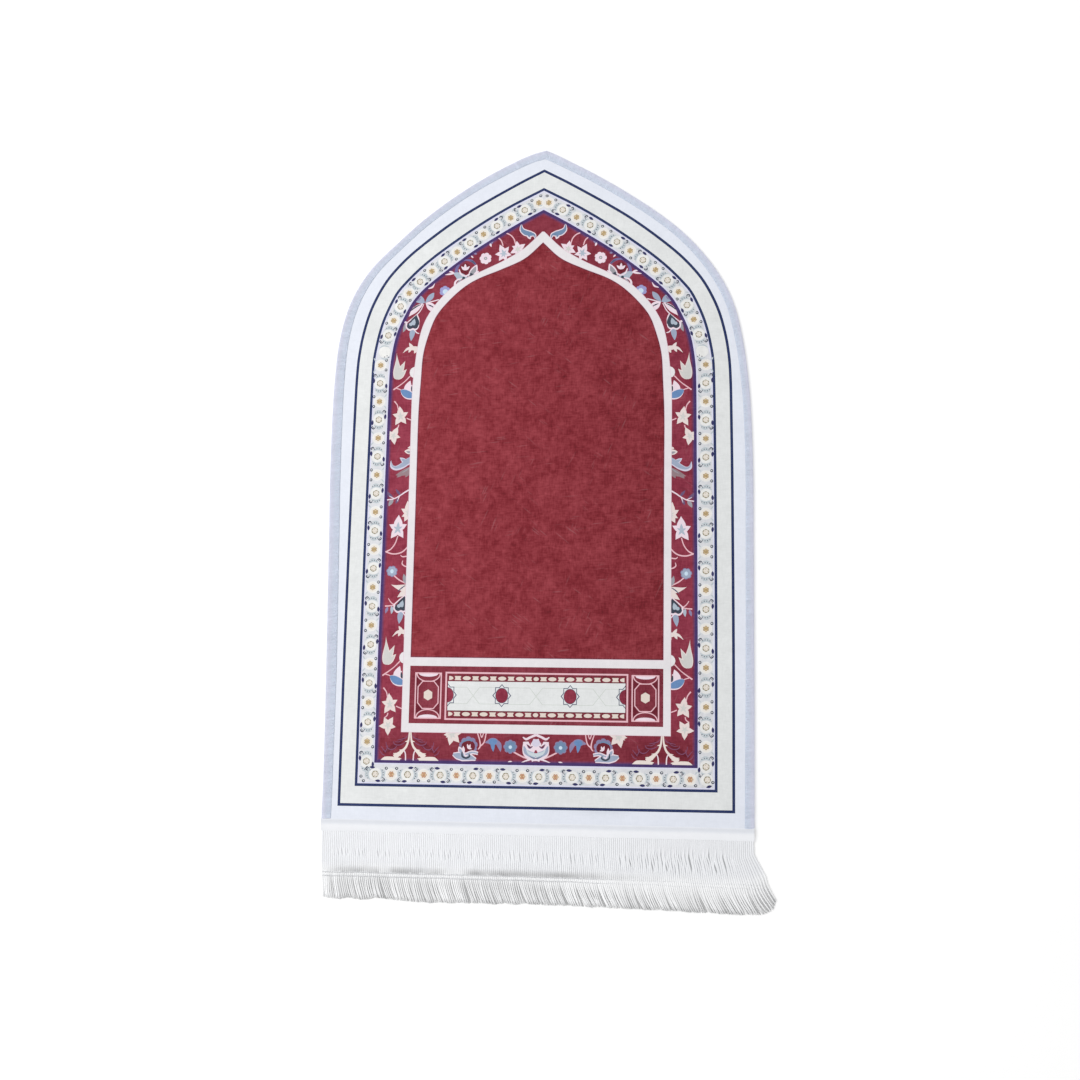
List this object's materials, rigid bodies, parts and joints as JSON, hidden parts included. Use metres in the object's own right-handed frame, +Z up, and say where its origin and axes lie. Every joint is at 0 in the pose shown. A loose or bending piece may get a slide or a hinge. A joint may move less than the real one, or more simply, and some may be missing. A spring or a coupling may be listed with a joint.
{
  "type": "prayer rug",
  "caption": "Flat arch-shaped prayer rug: printed short-pile mat with an overlocked edge and a strand fringe along its straight foot.",
  "frame": {"origin": "on the flat underside, midway between the foot of the cloth and the tip of the arch", "axes": "+Z up out of the printed face, +Y from the fringed foot towards the tip of the arch, +X to the right"},
  "size_m": [0.7121, 1.2221, 0.0039],
  "materials": {
    "printed_velour": "matt short-pile velour, printed",
    "overlock_yarn": "matt overlock stitching",
    "fringe_yarn": "soft matt yarn"
  },
  "bodies": {
    "root": {"mat_cloth": "printed_velour", "overlock_edge": "overlock_yarn", "fringe": "fringe_yarn"}
  },
  "joints": []
}
